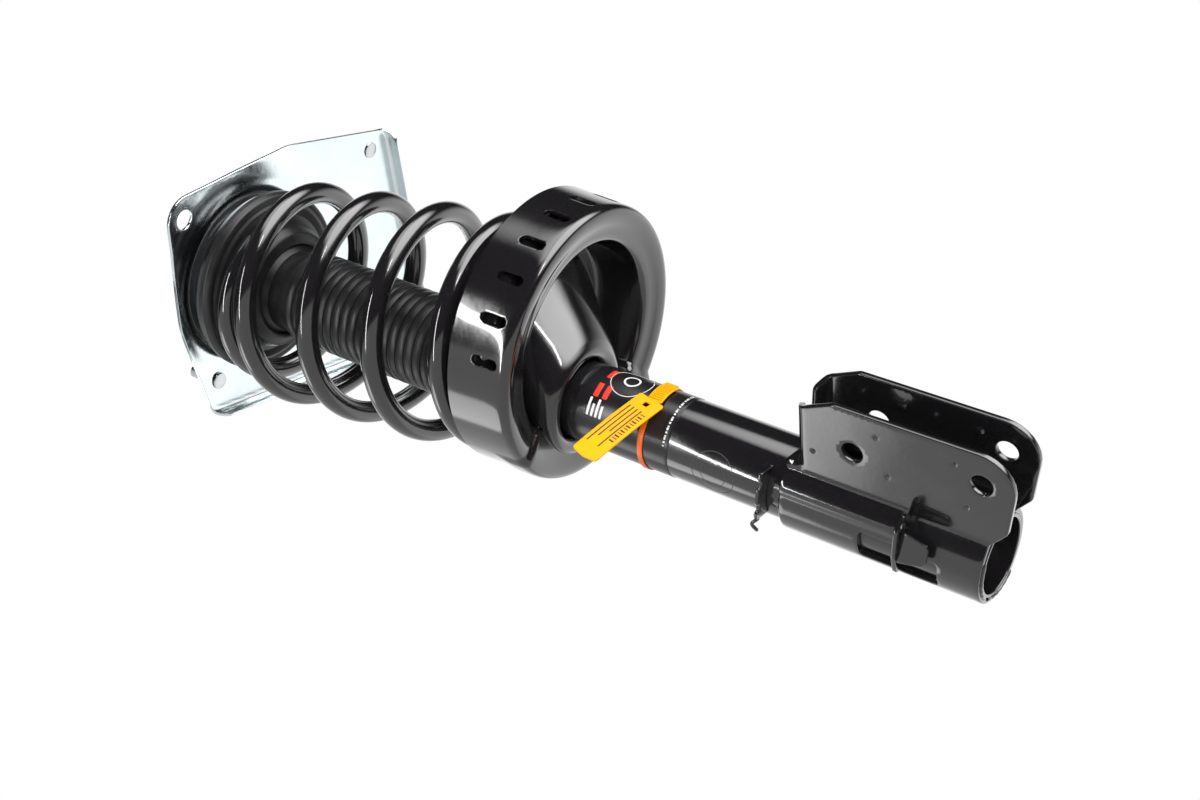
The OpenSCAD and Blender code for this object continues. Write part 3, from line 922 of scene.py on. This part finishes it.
def wall_patch(outline, radius, thick, edge=0.25, grid=1.5):
    """Thin patch bent round the tube. Its outline's corners are [angle in degrees, height, radius]."""
    scale = radius * pi / 180
    flat = [(a * scale, z, *rest) for a, z, *rest in outline]
    return pressed_sheet(fillet(flat, 5), [], bent_round(radius), thick, edge, grid)


def ring_patch(angle, z, r_out, r_in, radius, thick):
    """Flat ring that lies on the tube."""
    centre = (angle * (radius * pi / 180), z)
    turns = np.linspace(0, 2 * pi, 60, False)
    outer = [(centre[0] + r_out * cos(t), centre[1] + r_out * sin(t)) for t in turns]
    return pressed_sheet(outer, [round_hole(*centre, r_in, 60)], bent_round(radius), thick, 0.05, 1.5)


def make_label():
    """Film round the tube, with plain printed bars and a ring mark."""
    low, high = cad_box("label_film")
    bottom, top, r = low[2], high[2], TUBE_R + 0.15
    film = wall_patch(rectangle(-150, 60, bottom, top, 2), r, 0.3, 0.1, 3)
    piece("label", film, FILM, "strut_body", ("label_film",))
    ink_r = r + 0.2
    white = [rectangle(-62, -36 - 8 * (i % 2), top - 12 - 3.4 * i, top - 10.2 - 3.4 * i, 0.4)
             for i in range(4)]
    white += [rectangle(a, a + 1.6 + (i % 3), bottom + 3, bottom + 4.4)
              for i, a in enumerate(np.arange(-66, 30, 4.6))]
    red = [rectangle(-34, -12, top - 22, top - 18, 0.8), rectangle(-34, -12, top - 15, top - 11, 0.8),
           rectangle(0, 22, top - 16, top - 12, 0.8)]
    for name, ink, outlines in (("label_bars", WHITE_INK, white), ("label_mark", RED_INK, red)):
        patches = [wall_patch(outline, ink_r, INK_T, INK_EDGE) for outline in outlines]
        piece(name, joined(patches), ink, "strut_body")
    rings = [ring_patch(10, top - 30, r_out, r_in, ink_r, INK_T) for r_out, r_in in ((15, 14.5), (6, 4.6))]
    piece("label_circle", joined(rings), WHITE_INK, "strut_body")


def make_roundel():
    """Two plain etched rings on the tube, below the label."""
    angle, z = -80, -432
    etched = [ring_patch(angle, z, r, r - wide, TUBE_R + 0.02, 0.12) for r, wide in ((16, 0.5), (9.5, 0.4))]
    piece("roundel", joined(etched), ETCH, "strut_body")


def make_strap():
    """The tag's strap, a closed band round the tube."""
    low, high = cad_box("tag_strap")
    mid, half, r = (low[2] + high[2]) / 2, (high[2] - low[2]) / 2, high[0]
    inner = TUBE_R + 0.35
    line = fillet([(inner, mid - half, 0.3), (r, mid - half, 0.4), (r, mid + half, 0.4),
                   (inner, mid + half, 0.3)], 4)
    piece("strap", revolve(line, 128), ORANGE, "strut_body", ("tag_strap",), sharp=50)


def make_tag():
    """Yellow seal tag: a ribbed neck bent round the strap and a bowed plate with plain printed bars."""
    low, high = cad_box("tag_strap")
    mid, r = (low[2] + high[2]) / 2, high[0] + 1.3
    start = np.array([31.2, -7.4, mid])
    turn = Matrix.Rotation(radians(-95), 4, "Z") @ Matrix.Rotation(radians(-12), 4, "Y")
    along, across, out = (np.array(turn @ Vector(v)) for v in ((1, 0, 0), (0, 0, 1), (0, 1, 0)))

    def plate(shift):
        """Surface of the bowed plate, at a distance from its middle."""
        def surface(uv):
            bow = 1.0 * np.sin(np.clip(uv[:, 0] / 66, 0, 1) * pi)
            return start + uv[:, :1] * along + uv[:, 1:] * across + (bow + shift)[:, None] * out

        return surface

    outline = fillet([(1, -10.8, 1.5), (64, -10.8, 2.5), (65.6, 0, 1), (64, 10.8, 2.5), (1, 10.8, 1.5)], 5)
    slot = fillet([(5, -2.2, 0.7), (5, 2.2, 0.7), (9, 2.2, 0.7), (9, -2.2, 0.7)], 4)
    parts = [pressed_sheet(outline, [np.array(slot)], plate(0.0), 1.6, 0.45, 2.0)]
    parts.append(wall_patch(rectangle(-14, 31, mid - 5.6, mid + 5.6, 2), r - 0.5, 1.4, 0.4, 1.5))
    for angle in np.arange(-10, 30, 3.6):
        rib = rectangle(angle, angle + 1.6, mid - 4.6, mid + 4.6, 0.3)
        parts.append(wall_patch(rib, r + 0.5, 1.0, 0.3, 1.2))
    piece("tag", joined(parts), YELLOW, "strut_body", ("seal_tag",))
    lines = [rectangle(14, 54 - 7 * (i % 3), 7.2 - 3.4 * i - 0.55, 7.2 - 3.4 * i + 0.55) for i in range(4)]
    ticks = [rectangle(16 + 2.6 * i, 16 + 2.6 * i + 0.8 + 0.5 * (i % 2), -8.6, -4.6) for i in range(12)]
    bars = [pressed_sheet(fillet(bar), [], plate(0.86 * side), INK_T, INK_EDGE, 2.0)
            for side in (-1, 1) for bar in lines + ticks]
    piece("tag_bars", joined(bars), BLACK_INK, "strut_body")


def make_hose_tab():
    """Tab across the wrap with a rounded slot, and a leg that turns down beside it."""
    low = LOW_BOLT[2]
    tab_z, leg_angle, leg_r = low + 45.5, radians(-70), 38.0
    clockwise = fillet([(14, -27, 1), (26, -20, 1), (34, -26, 4), (27, -38, 5), (8, -41, 6), (-12, -37.5, 5),
                        (-6, -29, 1), (4, -30.5, 1)], 6)
    slot = fillet([(20, -33.5, 2.4), (20, -28.7, 2.4), (29, -28.7, 2.4), (29, -33.5, 2.4)], 5)

    def level(uv):
        return np.column_stack([uv, np.full(len(uv), tab_z)])

    def leg(uv):
        bend = np.clip(uv[:, 1] - (low + 41), 0, 4)
        out = leg_r - bend ** 2 / 8
        return np.column_stack([out * cos(leg_angle) - uv[:, 0] * sin(leg_angle),
                                out * sin(leg_angle) + uv[:, 0] * cos(leg_angle), uv[:, 1]])

    leg_outline = fillet([(-6, low + 25, 4), (8, low + 25, 4), (12, low + 44.6, 0.5),
                          (-10, low + 44.6, 0.5)], 6)
    parts = [pressed_sheet(clockwise[::-1], [np.array(slot)], level, 3.0, 0.7, 2.0),
             pressed_sheet(leg_outline, [], leg, 3.0, 0.7, 2.0)]
    piece("hose_bracket", joined(parts), PAINT, "strut_body", ("hose_tab",), sharp=50)


def make_lead_clip():
    """Clip for the sensor lead: a plate with two notches in its outer edge, and a curled prong."""
    low, high = cad_box("lead_clip")
    z = (low[2] + high[2]) / 2
    turn = radians(-75)
    spin = np.array([[cos(turn), -sin(turn)], [sin(turn), cos(turn)]])

    def level(uv):
        return np.column_stack([uv @ spin.T, np.full(len(uv), z)])

    def prong_point(a):
        x, y = np.array([32.5 + 2.2 * sin(a), -17 - 9.5 * a / pi]) @ spin.T
        return (x, y, z + 1.5 - 1.5 * cos(2 * a))

    half = [(38.3, 5.5, 2), (35.2, 6.5, 1), (35.2, 10.5, 1), (38.3, 11.5, 2), (36.5, 17, 2.5), (21.5, 17, 1)]
    outer = fillet([(x, -y, r) for x, y, r in half[::-1]] + half, 5)
    # The edge that follows the tube, just clear of it
    hug = [np.array([cos(t), sin(t)]) * TUBE_R * 1.01 for t in np.radians(np.linspace(36, -36, 25))]
    outline = outer + [p for p in hug if abs(p[1]) < 16.2]
    parts = [pressed_sheet(outline, [], level, 2.4, 0.5, 1.6),
             sweep([prong_point(a) for a in np.linspace(0, pi, 16)], 1.25, 12)]
    piece("clip", joined(parts), PAINT, "strut_body", ("lead_clip",), sharp=50)


def bead_line(points, radius, sides=10, wobble=0.1):
    """Weld bead: a small bar whose width ripples along its length."""
    path = np.array(points, float)
    verts, faces = sweep(path, radius, sides)
    end_rings = 3
    for i in range(len(path) - 2):
        swell = 1 + wobble * sin(i * 1.9)
        middle = path[i + 1]
        ring = (i + end_rings) * sides
        for k in range(ring, ring + sides):
            verts[k] = middle + (verts[k] - middle) * swell
    return verts, faces


def make_welds():
    """Weld seams round the tube, at the bracket's upper and lower edges."""
    top, bottom = LOW_BOLT[2] + 131.4, LOW_BOLT[2] - 7.2

    def arc(radius, z, first, last, step=1.6):
        count = max(4, int(abs(last - first) * pi / 180 * radius / step))
        return [(radius * cos(a), radius * sin(a), z) for a in np.radians(np.linspace(first, last, count))]

    seams = [(TUBE_R + 0.9, top, -75, -150, 1.5), (TUBE_R + 0.9, top, -180, -260, 1.5),
             (TUBE_R + 0.6, bottom, -62, -128, 1.3), (TUBE_R + 0.6, bottom, 150, 220, 1.3)]
    beads = [bead_line(arc(radius, z, first, last), thick) for radius, z, first, last, thick in seams]
    piece("welds", joined(beads), PAINT, "strut_body", sharp=60)


# ---- camera, light and stage

def camera_setup():
    """The photograph's viewpoint: below the strut, looking up at it from the bracket's side."""
    place = Vector((0.8321, -0.7746, -0.9472))
    right = Vector((-0.089, 0.564, -0.821))
    back = Vector((0.640, -0.599, -0.481)).normalized()
    right = (right - back * right.dot(back)).normalized()
    up = back.cross(right)
    data = bpy.data.cameras.new("camera")
    data.lens = 57.0
    data.sensor_width = 36.0
    data.clip_end = 20
    camera = new_object("camera", data)
    camera.matrix_world = Matrix.Translation(place) @ Matrix((right, up, back)).transposed().to_4x4()
    bpy.context.scene.camera = camera
    return right, up, back


def world_light(right, up, back):
    """The studio that the paint reflects: glowing areas, each a cone round a direction, in a dim room. The
    camera itself sees plain white."""
    world = bpy.data.worlds.new("studio")
    bpy.context.scene.world = world
    world.use_nodes = True
    tree = world.node_tree
    tree.nodes.clear()
    new, link = tree.nodes.new, tree.links.new
    coords = new("ShaderNodeTexCoord").outputs["Generated"]

    def facing(direction, start, end):
        dot = new("ShaderNodeVectorMath")
        dot.operation = "DOT_PRODUCT"
        dot.inputs[1].default_value = direction
        link(coords, dot.inputs[0])
        span = new("ShaderNodeMapRange")
        span.interpolation_type = "SMOOTHSTEP"
        span.inputs["From Min"].default_value = start
        span.inputs["From Max"].default_value = end
        link(dot.outputs["Value"], span.inputs["Value"])
        return span.outputs["Result"]

    def calc(operation, a, b):
        node = new("ShaderNodeMath")
        node.operation = operation
        for socket, value in zip(node.inputs, (a, b)):
            if isinstance(value, bpy.types.NodeSocket):
                link(value, socket)
            else:
                socket.default_value = value
        return node.outputs["Value"]

    def glow(direction, start, end, strength):
        return calc("MULTIPLY", facing(tuple(direction.normalized()), start, end), strength)

    bench = glow(-up, 0.2, 0.28, 0.75)
    backdrop = glow(-back, 0.72, 0.9, 1.0)
    side_wall = glow(right * 0.79 - up * 0.3 - back * 0.54, 0.6, 0.92, 1.3)
    overhead = glow(up * 0.95 + back * 0.3, 0.9, 0.97, 3.5)
    high_card = glow(right * 0.5 + up * 0.76 + back * 0.38, 0.76, 0.94, 6.0)
    low_card = glow(-right * 0.722 - up * 0.627 - back * 0.292, 0.97, 0.986, 3.0)
    room = 0.02
    for part in (bench, backdrop, side_wall, overhead, high_card, low_card):
        room = calc("MAXIMUM", room, part)
    path = new("ShaderNodeLightPath").outputs["Is Camera Ray"]
    strength = calc("ADD", path, calc("MULTIPLY", room, calc("SUBTRACT", 1.0, path)))
    shade = new("ShaderNodeBackground")
    link(strength, shade.inputs["Strength"])
    shade.inputs["Color"].default_value = (1, 1, 1, 1)
    out = new("ShaderNodeOutputWorld")
    link(shade.outputs["Background"], out.inputs["Surface"])


def softbox(name, direction, distance, size, power, target):
    """A plain rectangular studio light that faces the strut from a direction, its second size upright in the
    view."""
    data = bpy.data.lights.new(name, "AREA")
    data.shape, data.size, data.size_y, data.energy = "RECTANGLE", size[0], size[1], power
    light = new_object(name, data)
    away = direction.normalized()
    side = UP.cross(away).normalized()
    turn = Matrix((side, away.cross(side), away)).transposed().to_4x4()
    light.matrix_world = Matrix.Translation(target + away * distance) @ turn
    return light


def make_lights():
    """Two narrow boxes that glint along the paint, and two broad ones that only light its colour."""
    centre = Vector((0.03, 0.0, -0.33))
    softbox("key", BACK * 0.5 - RIGHT * 0.85 - UP * 0.05, 1.6, (0.07, 1.3), 9, centre)
    softbox("fill", UP * 0.5 + BACK * 0.8 + RIGHT * 0.3, 2.4, (0.08, 0.5), 5, centre)
    front = softbox("front", BACK + UP * 0.3, 2.2, (1.2, 1.2), 45, centre)
    sky = softbox("sky", Vector((0, 0, 1)), 3.0, (4.0, 4.0), 80, centre)
    for light in (front, sky):
        light.visible_glossy = False


def make_floor():
    """Plain pale floor, well below the camera that looks up at the strut. The paint doesn't reflect it."""
    z, half_size, cells = cad_bounds[0][2] - 1.3, 9.0, 24
    steps = [half_size * (2 * i / cells - 1) for i in range(cells + 1)]
    verts = [(x, y, z) for x in steps for y in steps]
    mesh = bpy.data.meshes.new("floor")
    mesh.from_pydata(verts, [], grid_faces(cells + 1, cells + 1, wrap_columns=False))
    m = Nodes("pale_floor")
    m.out(m.mix(m.noise(6, 3), (0.86, 0.86, 0.87), (0.9, 0.9, 0.9)), "Base Color")
    m.out(m.ramp(m.noise(30, 2), [(0.0, 0.6), (1.0, 0.8)]), "Roughness")
    mesh.materials.append(m.material)
    floor = new_object("floor", mesh)
    floor.visible_glossy = False


def finish_inner_nodes():
    """Gives the inner CAD pieces, which keep their own shapes, their real materials."""
    finishes = {
        RUBBER: ("mount_rubber", "rod_seal", "lower_isolator"),
        BARE: ("mount_sleeve", "rebound_stop", "piston_nut", "inner_cylinder", "tube_cap"),
        HARDWARE: ("dished_washer", "rod_nut"),
        RACE: ("upper_race", "lower_race"),
        CAGE: ("ball_cage",),
        CHROME: ("bearing_balls", "piston_rod"),
        PAINT: ("upper_spring_seat", "base_cup"),
        SINTER: ("piston", "foot_valve", "rod_guide"),
        RING: ("piston_ring",),
    }
    for material, names in finishes.items():
        for name in names:
            for slot in frame["nodes"][name].material_slots:
                slot.material = material


RIGHT, UP, BACK = camera_setup()
world_light(RIGHT, UP, BACK)
make_lights()
make_floor()
make_top_plate()
make_studs()
make_isolator()
make_spring()
make_boot()
make_bump_stop()
make_seat()
make_tube()
make_bracket()
make_rubber_cup()
make_label()
make_roundel()
make_strap()
make_tag()
make_hose_tab()
make_lead_clip()
make_welds()
finish_inner_nodes()
bpy.context.scene.view_settings.view_transform = "Standard"
